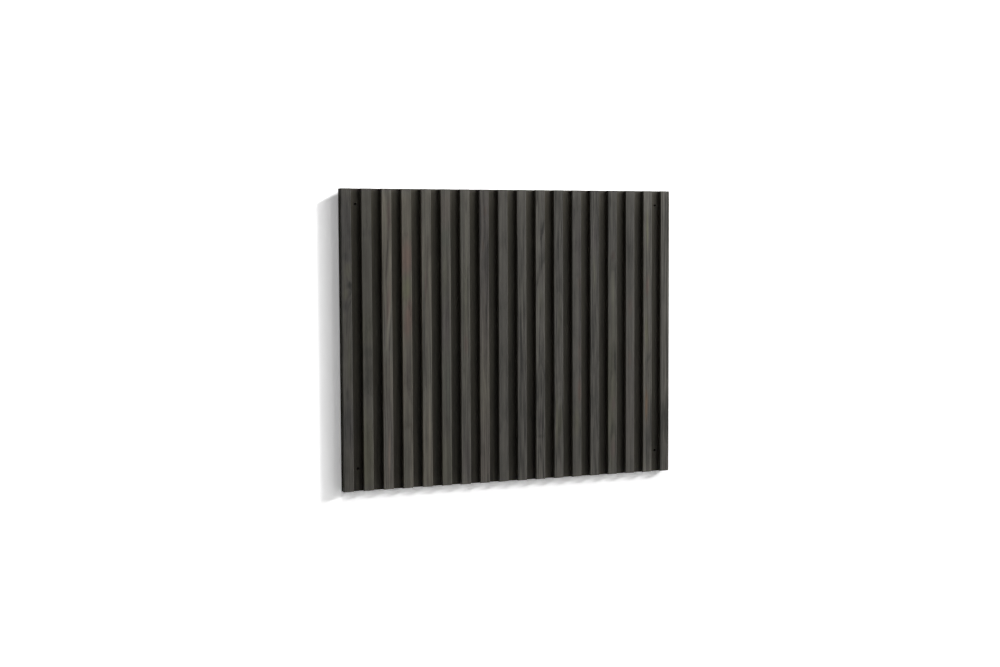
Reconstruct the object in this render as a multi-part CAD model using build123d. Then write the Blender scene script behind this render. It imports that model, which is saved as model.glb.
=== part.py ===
from build123d import *
import os

# A wall panel of upright wooden slats glued side by side to a flat backing board, in millimetres.
# The origin is the centre of the back face, which lies against the wall. X runs to the right
# as seen from the front, Y runs into the wall and Z runs up, so the slats face -Y.

# The whole panel, seen from the front
panel_width = 600.0
panel_height = 500.0

# The backing board
board_thickness = 10.0

# The slats: strips of one section, the outer two flush with the ends of the board
slat_count = 18
slat_width = 17.0
slat_depth = 6.0
slat_edge_radius = 0.8

# The screw holes, one near each corner, through the board in the first and the last groove
screw_hole_diameter = 4.0
hole_below_top = 25.5
hole_above_bottom = 37.5

# The grooves share what the slats leave of the width
groove_width = (panel_width - slat_count * slat_width) / (slat_count - 1)
slat_pitch = slat_width + groove_width
left_end = -panel_width / 2
top = panel_height / 2
bottom = -panel_height / 2


def backing_board():
    """The flat board behind the slats, with the four screw holes drilled straight through."""
    board = Pos(0, -board_thickness / 2, 0) * Box(panel_width, board_thickness, panel_height)
    outer_groove_x = panel_width / 2 - slat_width - groove_width / 2
    for x in (-outer_groove_x, outer_groove_x):
        for z in (bottom + hole_above_bottom, top - hole_below_top):
            drill = Cylinder(screw_hole_diameter / 2, board_thickness, rotation=(90, 0, 0))
            board -= Pos(x, -board_thickness / 2, z) * drill
    return board


def slat(number):
    """One slat, flat against the board, with the edges of its front face sanded round."""
    centre_x = left_end + slat_width / 2 + number * slat_pitch
    centre_y = -board_thickness - slat_depth / 2
    strip = Pos(centre_x, centre_y, 0) * Box(slat_width, slat_depth, panel_height)
    front_face = strip.faces().sort_by(Axis.Y)[0]
    return fillet(front_face.edges(), slat_edge_radius)


os.makedirs("parts", exist_ok=True)
export_step(backing_board(), "parts/backing_board.step")
for number in range(slat_count):
    export_step(slat(number), f"parts/slat_{number + 1:02d}.step")
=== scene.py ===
import math

import bmesh
import bpy
from mathutils import Matrix, Vector


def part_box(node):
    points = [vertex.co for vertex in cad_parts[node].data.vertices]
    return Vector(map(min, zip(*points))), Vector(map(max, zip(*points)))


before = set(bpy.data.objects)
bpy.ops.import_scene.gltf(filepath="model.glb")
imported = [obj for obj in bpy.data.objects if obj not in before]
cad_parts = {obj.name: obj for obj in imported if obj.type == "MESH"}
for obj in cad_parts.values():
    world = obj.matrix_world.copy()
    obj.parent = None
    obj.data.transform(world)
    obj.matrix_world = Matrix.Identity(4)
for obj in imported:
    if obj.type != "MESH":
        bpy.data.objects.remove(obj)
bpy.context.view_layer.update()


# The photograph's viewpoint: a lens of about 50 mm, 2.5 m from the panel, a step to its left and
# a little above its middle. The origin is the middle of the panel's back.
camera_place = Vector((-0.8961, -2.2950, 0.1602))
camera_target = Vector((-0.0173, 0.0, 0.0043))
camera_roll = math.radians(-0.27)
lens_mm = 51.58
film_width_mm = 36.0


def put_in_scene(name, data):
    """An object of that name, linked into the scene."""
    made = bpy.data.objects.new(name, data)
    bpy.context.scene.collection.objects.link(made)
    return made


camera_data = bpy.data.cameras.new("camera")
camera_data.sensor_width = film_width_mm
camera_data.lens = lens_mm
camera = put_in_scene("camera", camera_data)
camera.location = camera_place
looking = (camera_target - camera_place).to_track_quat("-Z", "Y")
camera.rotation_euler = (looking.to_matrix() @ Matrix.Rotation(camera_roll, 3, "Z")).to_euler()
bpy.context.scene.camera = camera


# The slats: strips of ash, planed, cut to one length and glued upright on the board. They were
# brushed, stained dark grey-brown and left matt, so the open pores and the early wood took more
# of the stain. Each strip came from another part of the log, as its own figure and shade show.
number_socket = "NodeSocketFloat"
place_socket = "NodeSocketVector"
colour_socket = "NodeSocketColor"


def add(tree, kind, inputs=(), **settings):
    """Adds one node with its settings, then links or sets its inputs by name or number."""
    made = tree.nodes.new(kind)
    for name, value in settings.items():
        setattr(made, name, value)
    for key, value in dict(inputs).items():
        if isinstance(value, bpy.types.NodeSocket):
            tree.links.new(value, made.inputs[key])
        else:
            made.inputs[key].default_value = value
    return made


def work(tree, operation, first, second=0.0, third=0.0):
    """One sum on numbers, such as MULTIPLY, and its result."""
    sums = {0: first, 1: second, 2: third}
    return add(tree, "ShaderNodeMath", sums, operation=operation).outputs[0]


def work_places(tree, operation, first, second=(0, 0, 0)):
    """One sum on places or steps, such as SUBTRACT, and its result."""
    sums = {0: first, 1: second}
    return add(tree, "ShaderNodeVectorMath", sums, operation=operation).outputs[0]


def length(tree, step):
    """How long a step is."""
    return add(tree, "ShaderNodeVectorMath", {0: step}, operation="LENGTH").outputs["Value"]


def total(tree, *values):
    """The values added up."""
    result = values[0]
    for value in values[1:]:
        result = work(tree, "ADD", result, value)
    return result


def ramp(tree, value, low, high, to_low=0.0, to_high=1.0):
    """Turns low to high into to_low to to_high, smoothly at both ends."""
    steps = {"Value": value, "From Min": low, "From Max": high, "To Min": to_low, "To Max": to_high}
    made = add(tree, "ShaderNodeMapRange", steps, interpolation_type="SMOOTHSTEP")
    return made.outputs["Result"]


def mix(tree, share, first, second, **settings):
    """Two colours mixed, by the share of the second one."""
    first_colour, second_colour, mixed_colour = 6, 7, 2
    parts = {"Factor": share, first_colour: first, second_colour: second}
    return add(tree, "ShaderNodeMix", parts, data_type="RGBA", **settings).outputs[mixed_colour]


def start_group(name, takes, gives):
    """An empty node group with named inputs and outputs, and its two ends."""
    group = bpy.data.node_groups.new(name, "ShaderNodeTree")
    for label, kind, value in takes:
        socket = group.interface.new_socket(label, in_out="INPUT", socket_type=kind)
        socket.default_value = value
    for label, kind in gives:
        group.interface.new_socket(label, in_out="OUTPUT", socket_type=kind)
    return group, group.nodes.new("NodeGroupInput"), group.nodes.new("NodeGroupOutput")


def start_material(name):
    """A material without a node, and its empty tree."""
    material = bpy.data.materials.new(name)
    material.use_nodes = True
    material.node_tree.nodes.clear()
    return material, material.node_tree


def stretched_noise(tree, point, across, along, seed, detail=2.0, roughness=0.5):
    """Noise drawn out along the grain: across and along are the size of a patch in metres."""
    size = add(tree, "ShaderNodeCombineXYZ", {"X": across, "Y": across, "Z": along}).outputs[0]
    placed = work_places(tree, "DIVIDE", point, size)
    steps = {"Vector": placed, "W": seed, "Scale": 1.0, "Detail": detail, "Roughness": roughness}
    return add(tree, "ShaderNodeTexNoise", steps, noise_dimensions="4D").outputs["Fac"]


def from_middle(tree, point, middle, half_size):
    """How far a point is from the middle of an oval on the face, which reaches to 1."""
    without_depth = (1, 0, 1)
    gap = work_places(tree, "SUBTRACT", point, middle)
    gap = work_places(tree, "DIVIDE", gap, half_size)
    return length(tree, work_places(tree, "MULTIPLY", gap, without_depth))


def growth_rings():
    """The tree's rings where the strip cuts them, bent round a knot, from 0 to 1 over a year."""
    bend_width, bend_length = 0.03, 0.13
    noise_mean = 0.5
    knot_stretch = 2.4
    knot_push = 0.7
    knot_edge = (0.72, 0.98)
    without_height = (1, 1, 0)
    group, given, out = start_group(
        "growth_rings",
        [("Point", place_socket, (0, 0, 0)), ("Heart", place_socket, (0, 0.05, 0)),
         ("Lean", place_socket, (0, 0.03, 0)), ("Ring Width", number_socket, 0.003),
         ("Waviness", number_socket, 0.004), ("Knot Place", place_socket, (0, 0, 0)),
         ("Knot Size", number_socket, 0.001), ("Seed", number_socket, 0.0)],
        [("Ring", number_socket), ("Knot", number_socket)])
    point, knot_size = given.outputs["Point"], given.outputs["Knot Size"]
    height = add(group, "ShaderNodeSeparateXYZ", {0: point}).outputs["Z"]
    leaned = add(group, "ShaderNodeVectorMath", {0: given.outputs["Lean"], "Scale": height},
                 operation="SCALE").outputs[0]
    heart = work_places(group, "ADD", given.outputs["Heart"], leaned)
    away = work_places(group, "SUBTRACT", point, heart)
    distance = length(group, work_places(group, "MULTIPLY", away, without_height))
    bend = stretched_noise(group, point, bend_width, bend_length, given.outputs["Seed"])
    bend = work(group, "SUBTRACT", bend, noise_mean)
    bend = work(group, "MULTIPLY", bend, given.outputs["Waviness"])
    knot_length = work(group, "MULTIPLY", knot_size, knot_stretch)
    knot_half = add(group, "ShaderNodeCombineXYZ", {"X": knot_size, "Y": 1.0, "Z": knot_length})
    knot_far = from_middle(group, point, given.outputs["Knot Place"], knot_half.outputs[0])
    knot_square = work(group, "MULTIPLY", knot_far, knot_far)
    knot = work(group, "EXPONENT", work(group, "MULTIPLY", knot_square, -1.0))
    push = work(group, "MULTIPLY", work(group, "MULTIPLY", knot, knot_size), knot_push)
    years = work(group, "DIVIDE", total(group, distance, bend, push), given.outputs["Ring Width"])
    group.links.new(work(group, "FRACT", years), out.inputs["Ring"])
    group.links.new(ramp(group, knot, *knot_edge), out.inputs["Knot"])
    return group


def wood_grain():
    """The figure along the grain: early wood, long streaks, open pores, fibres and broad clouds."""
    early_start, early_end = (0.0, 0.10), (0.22, 0.62)
    fibre_size, pore_size = (0.0007, 0.03), (0.00035, 0.007)
    cloud_size, band_size, ragged_size = (0.02, 0.05), (0.006, 0.5), (0.0025, 0.035)
    cloud_step, band_step, ragged_step = 7.0, 5.0, 3.0
    pore_edge = (0.55, 0.68)
    late_pores = 0.2
    group, given, out = start_group(
        "wood_grain",
        [("Point", place_socket, (0, 0, 0)), ("Ring", number_socket, 0.0),
         ("Streak Width", number_socket, 0.0036), ("Streak Length", number_socket, 0.11),
         ("Seed", number_socket, 0.0)],
        [("Early Wood", number_socket), ("Streaks", number_socket), ("Pores", number_socket),
         ("Fibres", number_socket), ("Clouds", number_socket), ("Bands", number_socket),
         ("Ragged", number_socket)])
    point, ring, seed = (given.outputs[name] for name in ("Point", "Ring", "Seed"))
    early = work(group, "MULTIPLY", ramp(group, ring, *early_start),
                 ramp(group, ring, *early_end, 1.0, 0.0))
    streaks = stretched_noise(group, point, given.outputs["Streak Width"],
                              given.outputs["Streak Length"], seed, detail=3.0, roughness=0.55)
    fibres = stretched_noise(group, point, *fibre_size, seed, detail=2.0, roughness=0.6)
    dashes = stretched_noise(group, point, *pore_size, seed, detail=1.0)
    open_share = work(group, "MULTIPLY_ADD", early, 1 - late_pores, late_pores)
    pores = work(group, "MULTIPLY", ramp(group, dashes, *pore_edge), open_share)
    cloud_seed, band_seed, ragged_seed = (work(group, "ADD", seed, step)
                                          for step in (cloud_step, band_step, ragged_step))
    clouds = stretched_noise(group, point, *cloud_size, cloud_seed, detail=1.0)
    bands = stretched_noise(group, point, *band_size, band_seed, detail=2.0)
    ragged = stretched_noise(group, point, *ragged_size, ragged_seed, detail=2.0)
    for label, value in (("Early Wood", early), ("Streaks", streaks), ("Pores", pores),
                         ("Fibres", fibres), ("Clouds", clouds), ("Bands", bands),
                         ("Ragged", ragged)):
        group.links.new(value, out.inputs[label])
    return group


def figure_mark_and_painted_light():
    """One mark, in the wood's figure and in painted light: a slanting oval of 1 with a ragged edge.
    """
    raggedness = 0.9
    mark_edge = (0.20, 1.25)
    group, given, out = start_group(
        "figure_mark_and_painted_light",
        [("Point", place_socket, (0, 0, 0)), ("Ragged", number_socket, 0.5),
         ("Middle", place_socket, (0, 0, 0)), ("Half Size", place_socket, (0.005, 1, 0.02)),
         ("Slant", number_socket, 0.0)],
        [("Mark", number_socket)])
    point, middle = given.outputs["Point"], given.outputs["Middle"]
    gap = work_places(group, "SUBTRACT", point, middle)
    up = add(group, "ShaderNodeSeparateXYZ", {0: gap}).outputs["Z"]
    slid = work(group, "MULTIPLY", up, given.outputs["Slant"])
    slid = add(group, "ShaderNodeCombineXYZ", {"X": slid}).outputs[0]
    upright = work_places(group, "SUBTRACT", point, slid)
    far = from_middle(group, upright, middle, given.outputs["Half Size"])
    uneven = work(group, "MULTIPLY_ADD", given.outputs["Ragged"], raggedness, -raggedness / 2)
    far = work(group, "ADD", far, uneven)
    group.links.new(ramp(group, far, *mark_edge, 1.0, 0.0), out.inputs["Mark"])
    return group


def stain():
    """The stain's colour over the figure, with the roughness and height of the brushed grain."""
    plain_shade, lightest_shade, darkest_shade = 0.38, -0.4, 1.1
    early_mean = 0.4
    noise_spread = (0.30, 0.70)
    swings = {"Fibres": 0.10, "Clouds": 0.08, "Bands": 0.16}
    pore_darkening, knot_darkening = 0.35, 0.30
    light_roughness, dark_roughness = 0.58, 0.74
    early_rise, pore_rise, fibre_rise = -0.4, -1.0, 0.4
    group, given, out = start_group(
        "stain",
        [("Light Tone", colour_socket, (0.1, 0.1, 0.1, 1)),
         ("Dark Tone", colour_socket, (0.03, 0.03, 0.03, 1)),
         ("Tint", colour_socket, (1, 1, 1, 1)),
         ("Ring Contrast", number_socket, 0.3), ("Streak Contrast", number_socket, 0.3),
         ("Early Wood", number_socket, 0.0), ("Streaks", number_socket, 0.5),
         ("Pores", number_socket, 0.0), ("Fibres", number_socket, 0.5),
         ("Clouds", number_socket, 0.5), ("Bands", number_socket, 0.5),
         ("Marks", number_socket, 0.0), ("Knot", number_socket, 0.0)],
        [("Color", colour_socket), ("Roughness", number_socket), ("Height", number_socket)])
    early, pores = given.outputs["Early Wood"], given.outputs["Pores"]
    rings = work(group, "MULTIPLY", work(group, "SUBTRACT", early, early_mean),
                 given.outputs["Ring Contrast"])
    streaks = ramp(group, given.outputs["Streaks"], *noise_spread, -1.0, 1.0)
    streaks = work(group, "MULTIPLY", streaks, given.outputs["Streak Contrast"])
    patches = [ramp(group, given.outputs[label], *noise_spread, -swing, swing)
               for label, swing in swings.items()]
    shade = total(group, plain_shade, rings, streaks, *patches,
                  work(group, "MULTIPLY", pores, pore_darkening), given.outputs["Marks"],
                  work(group, "MULTIPLY", given.outputs["Knot"], knot_darkening))
    shade = work(group, "MAXIMUM", work(group, "MINIMUM", shade, darkest_shade), lightest_shade)
    tone = mix(group, shade, given.outputs["Light Tone"], given.outputs["Dark Tone"],
               clamp_factor=False)
    tinted = mix(group, 1.0, tone, given.outputs["Tint"], blend_type="MULTIPLY")
    group.links.new(tinted, out.inputs["Color"])
    roughness = ramp(group, shade, 0.0, 1.0, light_roughness, dark_roughness)
    group.links.new(roughness, out.inputs["Roughness"])
    hollow = work(group, "MULTIPLY", pores, pore_rise)
    hollow = work(group, "MULTIPLY_ADD", early, early_rise, hollow)
    height = work(group, "MULTIPLY_ADD", given.outputs["Fibres"], fibre_rise, hollow)
    group.links.new(height, out.inputs["Height"])
    return group


rings_group = growth_rings()
grain_group = wood_grain()
mark_group = figure_mark_and_painted_light()
stain_group = stain()

# The stain where the wood took least of it, what is left of that where it took most, and the
# tinges that it has in places. The last two umbers are painted light for the board's ends.
stain_colour = Vector((0.108, 0.102, 0.088))
deep_share = 0.30
hues = {
    "grey": (1.01, 1.00, 0.98), "drab": (1.01, 1.005, 0.95), "slate": (1.00, 0.995, 1.05),
    "cream": (1.04, 1.00, 0.92), "yellow": (1.06, 1.08, 0.80), "olive": (1.00, 1.01, 0.88),
    "moss": (0.96, 1.02, 0.95), "moss_yellow": (1.01, 1.02, 0.82),
    "mauve": (1.03, 0.99, 0.99), "plum": (1.03, 0.975, 1.01), "blush": (1.06, 0.985, 0.96),
    "rosy": (1.13, 0.96, 0.92), "salmon": (1.30, 0.97, 0.90), "rust": (1.50, 1.02, 0.70),
    "umber": (1.06, 1.00, 0.80), "umber_end_light": (1.53, 1.45, 1.26),
    "umber_end_light_strong": (2.25, 2.17, 1.98)}


def stained_wood(name, low, high, shade, hue, marks, seed, heart=(0.0, 0.05, 0.0),
                 lean=(0.0, 0.03, 0.0), ring_width=0.003, ring_contrast=0.30,
                 streak_contrast=0.30, streak_size=(0.0036, 0.11), knot_place=(0.0, 0.0, 1.0),
                 knot_size=0.001, gloss=0.5):
    """The stained ash of one piece, with its figure placed from the piece's own centre.

    A mark is its place across and up the face, its half width and half length, all in metres,
    then how much it darkens the wood, its hue, and how far it slants right for each step up."""
    waviness = 0.008
    brushed_depth, brushed_strength = 0.00012, 0.5
    streak_width, streak_length = streak_size
    material, tree = start_material(name)
    place = add(tree, "ShaderNodeTexCoord").outputs["Object"]
    point = work_places(tree, "SUBTRACT", place, (low + high) / 2)
    rings = add(tree, "ShaderNodeGroup", {
        "Point": point, "Heart": heart, "Lean": lean, "Ring Width": ring_width,
        "Waviness": waviness, "Knot Place": knot_place, "Knot Size": knot_size, "Seed": seed},
        node_tree=rings_group)
    grain = add(tree, "ShaderNodeGroup", {
        "Point": point, "Ring": rings.outputs["Ring"], "Streak Width": streak_width,
        "Streak Length": streak_length, "Seed": seed}, node_tree=grain_group)
    darker, tint = 0.0, (*hues[hue], 1)
    for across, up, half_width, half_length, darkening, mark_hue, slant in marks:
        mark = add(tree, "ShaderNodeGroup", {
            "Point": point, "Ragged": grain.outputs["Ragged"], "Middle": (across, 0, up),
            "Half Size": (half_width, 1, half_length), "Slant": slant},
            node_tree=mark_group).outputs["Mark"]
        darker = work(tree, "MULTIPLY_ADD", mark, darkening, darker)
        tint = mix(tree, mark, tint, (*hues[mark_hue], 1))
    light_tone = stain_colour * shade
    finish = add(tree, "ShaderNodeGroup", {
        "Light Tone": (*light_tone, 1), "Dark Tone": (*(light_tone * deep_share), 1),
        "Tint": tint, "Marks": darker, "Knot": rings.outputs["Knot"],
        "Ring Contrast": ring_contrast, "Streak Contrast": streak_contrast},
        node_tree=stain_group)
    for label in ("Early Wood", "Streaks", "Pores", "Fibres", "Clouds", "Bands"):
        tree.links.new(grain.outputs[label], finish.inputs[label])
    bump = add(tree, "ShaderNodeBump", {
        "Height": finish.outputs["Height"], "Strength": brushed_strength,
        "Distance": brushed_depth})
    shader = add(tree, "ShaderNodeBsdfPrincipled", {
        "Base Color": finish.outputs["Color"], "Roughness": finish.outputs["Roughness"],
        "Normal": bump.outputs["Normal"], "Specular IOR Level": gloss})
    add(tree, "ShaderNodeOutputMaterial", {"Surface": shader.outputs["BSDF"]})
    return material


# How the strips were cut from the log: where its heart lay behind the strip, and how it leant
crown_cut = dict(heart=(0.001, 0.024, 0.0), lean=(0.004, 0.020, 0.0), ring_width=0.0032)
side_cut = dict(heart=(0.016, 0.022, 0.0), lean=(-0.020, 0.012, 0.0), ring_width=0.0030)
rift_cut = dict(heart=(0.060, 0.050, 0.0), lean=(0.012, 0.010, 0.0), ring_width=0.0026)
quarter_cut = dict(heart=(0.160, 0.030, 0.0), lean=(0.018, 0.0, 0.0), ring_width=0.0022)

# How streaky their wood is, where it differs from the rest
fine_streaks = dict(streak_size=(0.0014, 0.070), streak_contrast=0.62)
smooth = dict(ring_contrast=0.10, streak_contrast=0.16, streak_size=(0.005, 0.16))

# The strips from left to right, each with its shade, its hue, its cut and its marks
strips = [
    # 1: a knot with its swirl above the middle, and dark patches below it
    dict(rift_cut, shade=0.94, hue="grey", ring_contrast=0.20, streak_contrast=0.20,
         streak_size=(0.005, 0.05), knot_place=(0.011, 0.0, 0.085), knot_size=0.011, marks=[
        (-0.002, 0.19, 0.016, 0.070, 0.09, "slate", 0.0),
        (0.002, 0.116, 0.007, 0.015, -0.12, "olive", 0.1),
        (0.001, 0.138, 0.010, 0.010, 0.22, "slate", -0.4),
        (0.005, 0.092, 0.007, 0.007, 0.44, "grey", 0.4),
        (-0.002, 0.058, 0.009, 0.014, 0.26, "slate", 0.0),
        (-0.002, 0.077, 0.006, 0.011, -0.10, "olive", 0.0),
        (0.003, -0.03, 0.005, 0.05, 0.08, "olive", 0.0),
        (-0.004, -0.02, 0.0025, 0.06, -0.10, "drab", 0.0),
        (-0.001, -0.088, 0.0035, 0.014, 0.46, "grey", 0.0),
        (0.0, -0.14, 0.02, 0.05, 0.18, "slate", 0.0)]),
    # 2: calm, darker below the middle, mossy at the foot
    dict(smooth, shade=1.07, hue="drab", marks=[
        (0.0, 0.177, 0.03, 0.008, 0.14, "grey", 0.0),
        (0.0, 0.02, 0.02, 0.04, 0.04, "olive", 0.0),
        (0.0, -0.020, 0.05, 0.015, 0.24, "drab", 0.0),
        (0.0, -0.060, 0.05, 0.030, 0.34, "drab", 0.0),
        (-0.002, -0.195, 0.013, 0.085, -0.16, "moss_yellow", 0.0),
        (0.006, 0.12, 0.0015, 0.05, -0.14, "drab", 0.0)]),
    # 3: light, with paler veins, a dark one high up, and a mauve foot
    dict(side_cut, shade=1.58, hue="cream", ring_contrast=0.28, streak_contrast=0.22, marks=[
        (0.0, 0.0, 0.02, 0.06, 0.03, "grey", 0.0),
        (0.0052, 0.10, 0.0024, 0.060, -0.48, "cream", 0.01),
        (0.0005, 0.015, 0.0028, 0.062, -0.42, "drab", 0.11),
        (-0.005, 0.20, 0.005, 0.06, -0.36, "cream", 0.0),
        (0.004, 0.205, 0.004, 0.03, 0.04, "rosy", 0.0),
        (0.001, 0.14, 0.0014, 0.045, 0.40, "cream", 0.06),
        (0.002, 0.06, 0.004, 0.04, 0.05, "rosy", 0.08),
        (0.0, -0.16, 0.02, 0.12, 0.32, "mauve", 0.0),
        (0.001, -0.19, 0.0026, 0.05, -0.26, "rosy", 0.02)]),
    # 4: light and calm, pink in two places, darker at the foot
    dict(smooth, shade=1.54, hue="cream", marks=[
        (0.0064, 0.20, 0.0022, 0.045, 0.10, "yellow", 0.0),
        (0.0, 0.21, 0.02, 0.06, -0.10, "cream", 0.0),
        (0.0, 0.136, 0.014, 0.036, -0.10, "salmon", 0.03),
        (-0.001, 0.083, 0.012, 0.026, -0.06, "yellow", 0.05),
        (0.003, 0.032, 0.010, 0.042, 0.02, "salmon", 0.06),
        (0.002, -0.05, 0.006, 0.055, 0.30, "blush", 0.0),
        (-0.003, -0.20, 0.009, 0.08, 0.34, "drab", 0.0),
        (0.006, -0.10, 0.003, 0.14, 0.24, "cream", 0.0)]),
    # 5: light, cut straight through the rings
    dict(quarter_cut, shade=1.52, hue="cream", ring_contrast=0.16, streak_contrast=0.34, marks=[
        (0.0, 0.21, 0.02, 0.05, -0.13, "drab", 0.0),
        (0.0035, -0.13, 0.0020, 0.075, -0.34, "cream", 0.0),
        (-0.003, -0.05, 0.003, 0.035, 0.26, "olive", 0.0),
        (-0.002, 0.09, 0.004, 0.03, 0.04, "rosy", 0.0),
        (-0.005, 0.02, 0.003, 0.20, 0.14, "drab", 0.0),
        (0.0, -0.04, 0.02, 0.10, 0.16, "drab", 0.0)]),
    # 6: calm, with a light right edge
    dict(quarter_cut, shade=1.15, hue="drab", ring_contrast=0.14, marks=[
        (0.0, 0.215, 0.02, 0.04, -0.20, "blush", 0.0),
        (0.0, 0.167, 0.02, 0.018, 0.02, "moss", 0.0),
        (-0.001, 0.11, 0.008, 0.04, 0.08, "olive", 0.0),
        (0.0, 0.02, 0.014, 0.05, 0.16, "plum", 0.0),
        (0.0064, 0.02, 0.0012, 0.24, -0.26, "grey", 0.0),
        (0.002, -0.08, 0.007, 0.06, 0.05, "moss", 0.0),
        (0.0, -0.21, 0.02, 0.06, -0.13, "olive", 0.0)]),
    # 7: calm, with a small dark fleck at the top
    dict(rift_cut, shade=1.15, hue="drab", ring_contrast=0.18, marks=[
        (0.0, 0.18, 0.02, 0.09, -0.18, "drab", 0.0),
        (0.002, 0.222, 0.0016, 0.014, 0.40, "grey", 0.0),
        (0.0, 0.06, 0.009, 0.07, -0.09, "olive", 0.0),
        (0.0064, 0.15, 0.0012, 0.13, -0.24, "drab", 0.0),
        (0.001, -0.01, 0.005, 0.02, 0.05, "rosy", 0.0),
        (0.0, -0.15, 0.02, 0.06, 0.10, "grey", 0.0),
        (0.001, -0.21, 0.012, 0.045, 0.12, "plum", 0.0)]),
    # 8: pinkish, plum above, with a light slanting vein below the middle
    dict(side_cut, shade=1.10, hue="blush", ring_contrast=0.34, marks=[
        (0.0, 0.16, 0.04, 0.14, 0.24, "plum", 0.0),
        (0.002, 0.213, 0.004, 0.010, 0.04, "rosy", 0.0),
        (0.001, 0.13, 0.0035, 0.022, 0.16, "plum", 0.0),
        (-0.002, 0.155, 0.003, 0.012, 0.0, "rosy", 0.0),
        (-0.001, -0.07, 0.0014, 0.070, -0.50, "rosy", -0.10),
        (-0.004, -0.04, 0.0011, 0.05, 0.35, "blush", -0.10),
        (0.0, -0.09, 0.02, 0.08, -0.24, "cream", 0.0),
        (0.0, -0.21, 0.014, 0.03, 0.06, "blush", 0.0)]),
    # 9: the calmest one, plain grey
    dict(smooth, shade=1.01, hue="grey", streak_size=(0.0022, 0.09), marks=[
        (0.0, 0.21, 0.03, 0.05, -0.12, "grey", 0.0),
        (0.0, -0.09, 0.05, 0.15, 0.12, "grey", 0.0),
        (-0.005, 0.06, 0.0022, 0.16, -0.14, "grey", 0.0)]),
    # 10: fine streaks, with a dark one in the middle
    dict(quarter_cut, **fine_streaks, shade=0.88, hue="grey", marks=[
        (0.001, 0.22, 0.0018, 0.05, -0.40, "olive", 0.0),
        (0.0, 0.22, 0.02, 0.04, -0.14, "grey", 0.0),
        (-0.0025, -0.01, 0.0026, 0.080, 0.50, "grey", 0.0),
        (-0.0045, 0.05, 0.0014, 0.12, -0.22, "grey", 0.0),
        (0.0, 0.07, 0.02, 0.05, 0.09, "drab", 0.0),
        (0.0, -0.10, 0.02, 0.08, 0.26, "grey", 0.0),
        (0.001, -0.17, 0.0012, 0.05, -0.40, "grey", 0.0)]),
    # 11: the tree's crown in loops, with dark flecks high up and low down
    dict(crown_cut, shade=1.06, hue="grey", ring_contrast=0.40, streak_contrast=0.52,
         streak_size=(0.0016, 0.065), marks=[
        (0.0055, 0.186, 0.0022, 0.016, 0.66, "grey", 0.14),
        (0.002, 0.170, 0.0016, 0.010, 0.50, "grey", 0.45),
        (0.001, 0.06, 0.005, 0.02, 0.02, "olive", 0.0),
        (0.0, -0.03, 0.02, 0.03, -0.18, "grey", 0.0),
        (0.0015, -0.080, 0.0018, 0.030, 0.70, "grey", 0.0),
        (0.0, -0.130, 0.02, 0.070, 0.38, "grey", 0.0),
        (0.001, -0.15, 0.005, 0.025, 0.05, "plum", 0.0),
        (0.0, -0.175, 0.008, 0.004, 0.30, "grey", 0.2)]),
    # 12: fine streaks round a small knot, and a dark mossy patch below it
    dict(crown_cut, **fine_streaks, shade=0.90, hue="grey", ring_contrast=0.20,
         knot_place=(0.001, 0.0, -0.092), knot_size=0.0035, marks=[
        (0.0, 0.01, 0.03, 0.06, 0.12, "grey", 0.0),
        (0.001, 0.03, 0.004, 0.05, 0.02, "olive", 0.05),
        (0.0, -0.08, 0.012, 0.05, 0.05, "grey", 0.0),
        (0.0030, -0.150, 0.0065, 0.038, 0.58, "moss_yellow", 0.06),
        (-0.004, -0.15, 0.003, 0.07, -0.14, "moss_yellow", 0.0),
        (0.0, -0.24, 0.02, 0.04, -0.12, "grey", 0.0)]),
    # 13: calm, plum along its right edge, with pink spots
    dict(smooth, shade=0.96, hue="grey", marks=[
        (-0.0055, 0.205, 0.0028, 0.032, 0.40, "plum", 0.0),
        (0.003, 0.15, 0.009, 0.05, 0.14, "plum", 0.0),
        (-0.001, 0.0, 0.003, 0.24, -0.22, "grey", 0.0),
        (0.0058, 0.04, 0.0030, 0.22, 0.30, "plum", 0.0),
        (0.005, 0.09, 0.004, 0.015, 0.0, "rosy", 0.0),
        (0.005, -0.03, 0.004, 0.02, 0.0, "rosy", 0.0),
        (0.005, -0.10, 0.004, 0.025, 0.0, "salmon", 0.0),
        (-0.001, -0.17, 0.010, 0.05, 0.0, "moss_yellow", 0.0),
        (0.005, -0.19, 0.0045, 0.05, 0.42, "olive", 0.03),
        (0.0, -0.21, 0.02, 0.05, 0.08, "grey", 0.0)]),
    # 14: fine streaks, darker in the middle and towards both ends
    dict(rift_cut, **fine_streaks, shade=0.94, hue="grey", ring_contrast=0.18, marks=[
        (0.0, 0.17, 0.008, 0.03, 0.05, "plum", 0.0),
        (-0.001, 0.105, 0.005, 0.035, -0.18, "olive", 0.0),
        (-0.003, 0.01, 0.007, 0.050, 0.38, "grey", 0.0),
        (0.006, -0.01, 0.0015, 0.06, -0.20, "grey", 0.0),
        (0.0, 0.235, 0.02, 0.04, 0.17, "grey", 0.0),
        (0.0, -0.15, 0.03, 0.06, 0.20, "grey", 0.0)]),
    # 15: crown loops, olive along the right edge, with pink spots
    dict(crown_cut, shade=0.90, hue="drab", ring_contrast=0.30, marks=[
        (0.0, 0.17, 0.02, 0.045, 0.22, "grey", 0.0),
        (0.001, 0.136, 0.005, 0.010, 0.26, "rosy", 0.2),
        (0.0, 0.075, 0.006, 0.055, -0.26, "olive", 0.0),
        (0.0055, -0.01, 0.0030, 0.16, 0.34, "olive", 0.0),
        (-0.002, -0.11, 0.012, 0.15, 0.10, "moss_yellow", 0.0),
        (0.002, -0.125, 0.005, 0.016, 0.0, "rosy", 0.0),
        (0.001, -0.205, 0.006, 0.020, 0.02, "rosy", 0.0)]),
    # 16: straight fine grain, darker above
    dict(quarter_cut, shade=0.96, hue="grey", streak_contrast=0.26, streak_size=(0.002, 0.12),
         ring_contrast=0.12, marks=[
        (0.0, 0.17, 0.012, 0.09, 0.24, "grey", 0.0),
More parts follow.
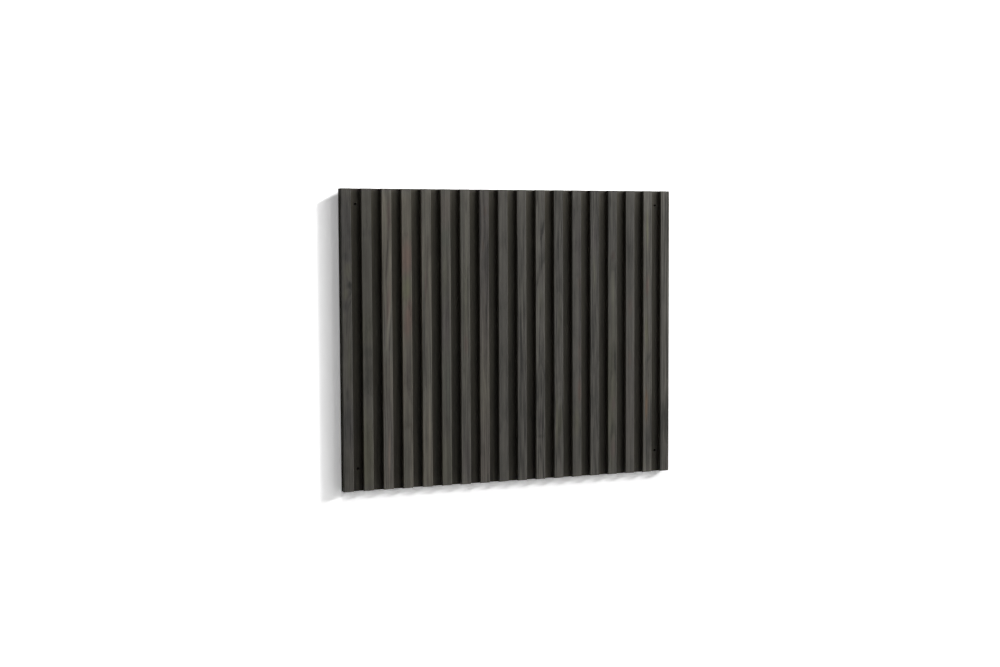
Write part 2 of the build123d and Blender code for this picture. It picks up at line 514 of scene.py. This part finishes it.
        (0.003, 0.12, 0.0012, 0.04, 0.40, "grey", 0.03),
        (-0.002, 0.19, 0.0012, 0.04, -0.30, "grey", 0.0),
        (0.0, -0.14, 0.04, 0.12, -0.06, "mauve", 0.0),
        (0.0, 0.047, 0.006, 0.020, 0.02, "rosy", 0.0),
        (-0.001, -0.045, 0.004, 0.018, 0.02, "rosy", 0.0)]),
    # 17: lighter, with yellow veins and one rusty vein
    dict(rift_cut, shade=1.22, hue="drab", ring_contrast=0.24, streak_contrast=0.34, marks=[
        (-0.001, 0.190, 0.0030, 0.050, -0.40, "yellow", 0.0),
        (0.002, 0.235, 0.02, 0.03, -0.26, "grey", 0.0),
        (0.0, 0.082, 0.005, 0.022, -0.06, "salmon", 0.05),
        (-0.001, 0.0, 0.0055, 0.035, -0.22, "yellow", 0.0),
        (0.004, 0.03, 0.0035, 0.08, -0.14, "grey", 0.0),
        (0.003, -0.045, 0.004, 0.012, 0.26, "grey", 0.3),
        (-0.0015, -0.135, 0.0042, 0.038, 0.0, "rust", -0.01),
        (0.004, -0.16, 0.006, 0.05, 0.46, "grey", 0.0),
        (0.0, -0.20, 0.02, 0.05, 0.24, "grey", 0.0)]),
    # 18: strong long streaks, with the darkest patch of all low down
    dict(quarter_cut, shade=1.24, hue="grey", ring_contrast=0.30, streak_contrast=0.85,
         streak_size=(0.0014, 0.20), marks=[
        (-0.0045, 0.08, 0.0040, 0.19, -0.32, "grey", 0.0),
        (0.0045, 0.0, 0.0030, 0.30, 0.24, "grey", 0.0),
        (0.005, -0.145, 0.009, 0.045, 0.90, "grey", 0.0),
        (0.0, -0.163, 0.03, 0.034, 0.50, "grey", 0.0),
        (0.006, 0.17, 0.0022, 0.03, 0.30, "grey", 0.0),
        (0.0, -0.22, 0.02, 0.06, 0.30, "grey", 0.0),
        (0.002, -0.03, 0.012, 0.10, 0.24, "grey", 0.0)]),
]

# Painted light at both ends of every strip: the wood is drawn lighter close to each end
painted_end_light = [(0.0, 0.255, 1.0, 0.021, -0.20, "grey", 0.0),
               (0.0, -0.255, 1.0, 0.014, -0.12, "grey", 0.0)]
seed_step = 3.7
for number, strip in enumerate(strips):
    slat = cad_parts[f"slat_{number + 1:02d}"]
    slat_low, slat_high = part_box(slat.name)
    strip["marks"] += painted_end_light
    slat.material_slots[0].material = stained_wood(
        f"stained_ash_{number + 1:02d}", slat_low, slat_high, seed=seed_step * number, **strip)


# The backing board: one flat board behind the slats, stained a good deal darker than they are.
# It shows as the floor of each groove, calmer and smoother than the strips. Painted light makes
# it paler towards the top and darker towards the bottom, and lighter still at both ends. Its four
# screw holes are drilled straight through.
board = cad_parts["backing_board"]
board_low, board_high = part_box("backing_board")
board.material_slots[0].material = stained_wood(
    "stained_board", board_low, board_high, shade=0.33, hue="umber", gloss=0.25,
    heart=(0.0, 0.4, 0.0), lean=(0.0, 0.01, 0.0), ring_width=0.004, ring_contrast=0.12,
    streak_contrast=0.16, streak_size=(0.008, 0.12), seed=91.0, marks=[
        # Painted light and shade: paler above, darker below, and much lighter at both ends
        (0.0, 0.27, 3.0, 0.11, -0.42, "umber", 0.0),
        (0.0, 0.25, 3.0, 0.50, -0.28, "umber", 0.0),
        (0.0, -0.20, 3.0, 0.40, 0.20, "umber", 0.0),
        (0.0, 0.254, 3.0, 0.040, 0.0, "umber_end_light", 0.0),
        (0.0, 0.254, 3.0, 0.011, 0.0, "umber_end_light_strong", 0.0),
        (0.0, -0.254, 3.0, 0.030, 0.0, "umber_end_light", 0.0)])


# The wall that the panel is fixed to: matt white plaster. It is open behind the panel, where it
# can't be seen, apart from spots of painted shade behind the screw holes. It shows from the
# front only, so that the panel's back can be looked at too.
wall_gap = 0.0002
wall_inset = 0.0006
wall_left, wall_right = -4.0, 4.0
wall_bottom, wall_top = -1.1, 3.0
wall_depth = board_high.y + wall_gap
hole_across = 0.27435
hole_heights = (0.2245, -0.2125)
spot_radius = 0.0023

# A grid of three by three squares, drawn out until the middle one lies behind the panel
grid_half = 1.5
wall_mesh = bmesh.new()
bmesh.ops.create_grid(wall_mesh, x_segments=3, y_segments=3, size=grid_half)
wall_columns = (wall_left, board_low.x + wall_inset, board_high.x - wall_inset, wall_right)
wall_rows = (wall_bottom, board_low.z + wall_inset, board_high.z - wall_inset, wall_top)
for corner in wall_mesh.verts:
    column, row = round(corner.co.x + grid_half), round(corner.co.y + grid_half)
    corner.co = (wall_columns[column], wall_depth, wall_rows[row])
near_the_middle = 0.01
opening = [face for face in wall_mesh.faces
           if face.calc_center_median().xz.length < near_the_middle]
bmesh.ops.delete(wall_mesh, geom=opening, context="FACES")
upright = Matrix.Rotation(math.radians(90), 4, "X")
for x in (-hole_across, hole_across):
    for z in hole_heights:
        bmesh.ops.create_circle(wall_mesh, cap_ends=True, radius=spot_radius, segments=24,
                                matrix=Matrix.Translation((x, wall_depth, z)) @ upright)
        wall_mesh.faces.ensure_lookup_table()
        wall_mesh.faces[-1].material_index = 1
wall_data = bpy.data.meshes.new("wall")
wall_mesh.to_mesh(wall_data)
wall_mesh.free()
wall = put_in_scene("wall", wall_data)

# The lamps meet plain white plaster. The camera sees it overexposed, as the photograph is: the
# plaster is brighter, an even glow lies over it, and another close beside the panel. Plain white
# takes over beyond the shadow on the left and below, above the panel and, in part, on its right.
# The places are in metres outside the panel's outline, and across_white from its middle.
plaster_colour = (0.8, 0.8, 0.8, 1)
# Painted light: the plaster is seen brighter on the left than on the right, evening out the lamps'
# fall-off
seen_left, seen_right = 1.64, 1.38
# Painted light: the glows lift the panel's shadow, most of all close beside the panel
painted_even_glow = 0.070
painted_near_glow, near_start, near_end = 0.165, (0.0, 0.001), (0.013, 0.026)
# Painted light: the whites wipe out the outer edges of the panel's shadow and its top
beside_white = (0.032, 0.058)
below_white = (0.018, 0.040)
above_white, above_share, above_slope = (-0.0115, -0.0025), 0.9, 0.45
across_white, across_share = (0.302, 0.310), 0.25

plaster, tree = start_material("white_plaster")
place = add(tree, "ShaderNodeTexCoord").outputs["Object"]
from_centre = add(tree, "ShaderNodeSeparateXYZ", {0: place})
across, up = from_centre.outputs["X"], from_centre.outputs["Z"]
outside = work_places(tree, "SUBTRACT", work_places(tree, "ABSOLUTE", place),
                      (board_high.x, 1.0, board_high.z))
outside = add(tree, "ShaderNodeSeparateXYZ", {0: outside})
beside, above_or_below = outside.outputs["X"], outside.outputs["Z"]
above = work(tree, "MULTIPLY_ADD", work(tree, "MAXIMUM", beside, 0.0), above_slope,
             work(tree, "SUBTRACT", up, board_high.z))
white = work(tree, "MAXIMUM", ramp(tree, beside, *beside_white),
             ramp(tree, above_or_below, *below_white))
white = work(tree, "MAXIMUM", white, ramp(tree, above, *above_white, 0.0, above_share))
white = work(tree, "MAXIMUM", white, ramp(tree, across, *across_white, 0.0, across_share))
near = work(tree, "MULTIPLY", ramp(tree, beside, *near_start),
            ramp(tree, beside, *near_end, painted_near_glow, 0.0))
glow = total(tree, white, painted_even_glow, near)
glow = add(tree, "ShaderNodeEmission", {"Color": (1, 1, 1, 1), "Strength": glow})
seen_colour = ramp(tree, across, board_low.x, board_high.x, seen_left, seen_right)
seen = add(tree, "ShaderNodeBsdfDiffuse", {"Color": seen_colour})
overexposed = add(tree, "ShaderNodeAddShader", {0: seen.outputs[0], 1: glow.outputs[0]})
lit = add(tree, "ShaderNodeBsdfDiffuse", {"Color": plaster_colour})
clear = add(tree, "ShaderNodeBsdfTransparent")
camera_ray = add(tree, "ShaderNodeLightPath").outputs["Is Camera Ray"]
behind = add(tree, "ShaderNodeNewGeometry").outputs["Backfacing"]
front = add(tree, "ShaderNodeMixShader",
            {0: camera_ray, 1: lit.outputs[0], 2: overexposed.outputs[0]})
whole = add(tree, "ShaderNodeMixShader", {0: work(tree, "MULTIPLY", camera_ray, behind),
                                          1: front.outputs[0], 2: clear.outputs[0]})
add(tree, "ShaderNodeOutputMaterial", {"Surface": whole.outputs[0]})
wall_data.materials.append(plaster)

# Painted shade: a near-black spot behind each screw hole stands in for the hole's shadow; it is
# clear from behind
hole_shade_colour = (0.01, 0.009, 0.008, 1)
drilled, tree = start_material("painted_hole_shade")
dark = add(tree, "ShaderNodeBsdfDiffuse", {"Color": hole_shade_colour})
clear = add(tree, "ShaderNodeBsdfTransparent")
behind = add(tree, "ShaderNodeNewGeometry").outputs["Backfacing"]
whole = add(tree, "ShaderNodeMixShader", {0: behind, 1: dark.outputs[0], 2: clear.outputs[0]})
add(tree, "ShaderNodeOutputMaterial", {"Surface": whole.outputs[0]})
wall_data.materials.append(drilled)


# The floor of the room, well below the panel: one flat sheet at the foot of the wall, plain,
# pale and matt.
floor_half = 4.0
floor_colour = (0.8, 0.8, 0.8, 1)
floor_mesh = bmesh.new()
bmesh.ops.create_grid(floor_mesh, x_segments=1, y_segments=1, size=floor_half)
bmesh.ops.translate(floor_mesh, verts=floor_mesh.verts, vec=(0, 0, wall_bottom))
floor_data = bpy.data.meshes.new("floor")
floor_mesh.to_mesh(floor_data)
floor_mesh.free()
floor = put_in_scene("floor", floor_data)
pale, tree = start_material("pale_floor")
matt = add(tree, "ShaderNodeBsdfDiffuse", {"Color": floor_colour})
add(tree, "ShaderNodeOutputMaterial", {"Surface": matt.outputs[0]})
floor_data.materials.append(pale)


# The light: two oblong lamps and a broad one, 6 m off to the right and above, rake across the
# slats and leave the grooves dark. A weak one fills from the left, and one behind the panel
# lights its back. The room itself is nearly dark, and plain white to the camera.
def soft_lamp(name, across, up, distance, width, height, power, off_the_wall=-1):
    """A soft lamp aimed at the panel's middle, across and up being steps per step off the wall.

    off_the_wall is -1 for a lamp in front of the panel and 1 for one behind it."""
    data = bpy.data.lights.new(name, "AREA")
    data.shape = "RECTANGLE"
    data.size = width
    data.size_y = height
    data.energy = power
    lamp = put_in_scene(name, data)
    lamp.location = Vector((across, off_the_wall, up)).normalized() * distance
    lamp.rotation_euler = (-lamp.location).to_track_quat("-Z", "Y").to_euler()


soft_lamp("side_lamp", across=2.08, up=0.87, distance=6.0, width=0.48, height=0.26, power=129.0)
soft_lamp("front_lamp", across=1.42, up=0.85, distance=6.0, width=1.3, height=0.4, power=88.0)
soft_lamp("broad_lamp", across=1.00, up=0.45, distance=6.0, width=2.4, height=2.8, power=90.0)
soft_lamp("left_fill", across=-6.0, up=0.40, distance=2.6, width=0.6, height=0.6, power=1.2)
soft_lamp("back_lamp", across=0.7, up=0.7, distance=2.8, width=1.5, height=1.5, power=60.0,
          off_the_wall=1)

room_strength = 0.004
white_strength = 1.0
world = bpy.data.worlds.new("room")
bpy.context.scene.world = world
world.use_nodes = True
tree = world.node_tree
tree.nodes.clear()
camera_ray = add(tree, "ShaderNodeLightPath").outputs["Is Camera Ray"]
dim = add(tree, "ShaderNodeBackground", {"Color": (1, 1, 1, 1), "Strength": room_strength})
white = add(tree, "ShaderNodeBackground", {"Color": (1, 1, 1, 1), "Strength": white_strength})
room = add(tree, "ShaderNodeMixShader", {0: camera_ray, 1: dim.outputs[0], 2: white.outputs[0]})
add(tree, "ShaderNodeOutputWorld", {"Surface": room.outputs[0]})

bpy.context.scene.view_settings.view_transform = "Standard"
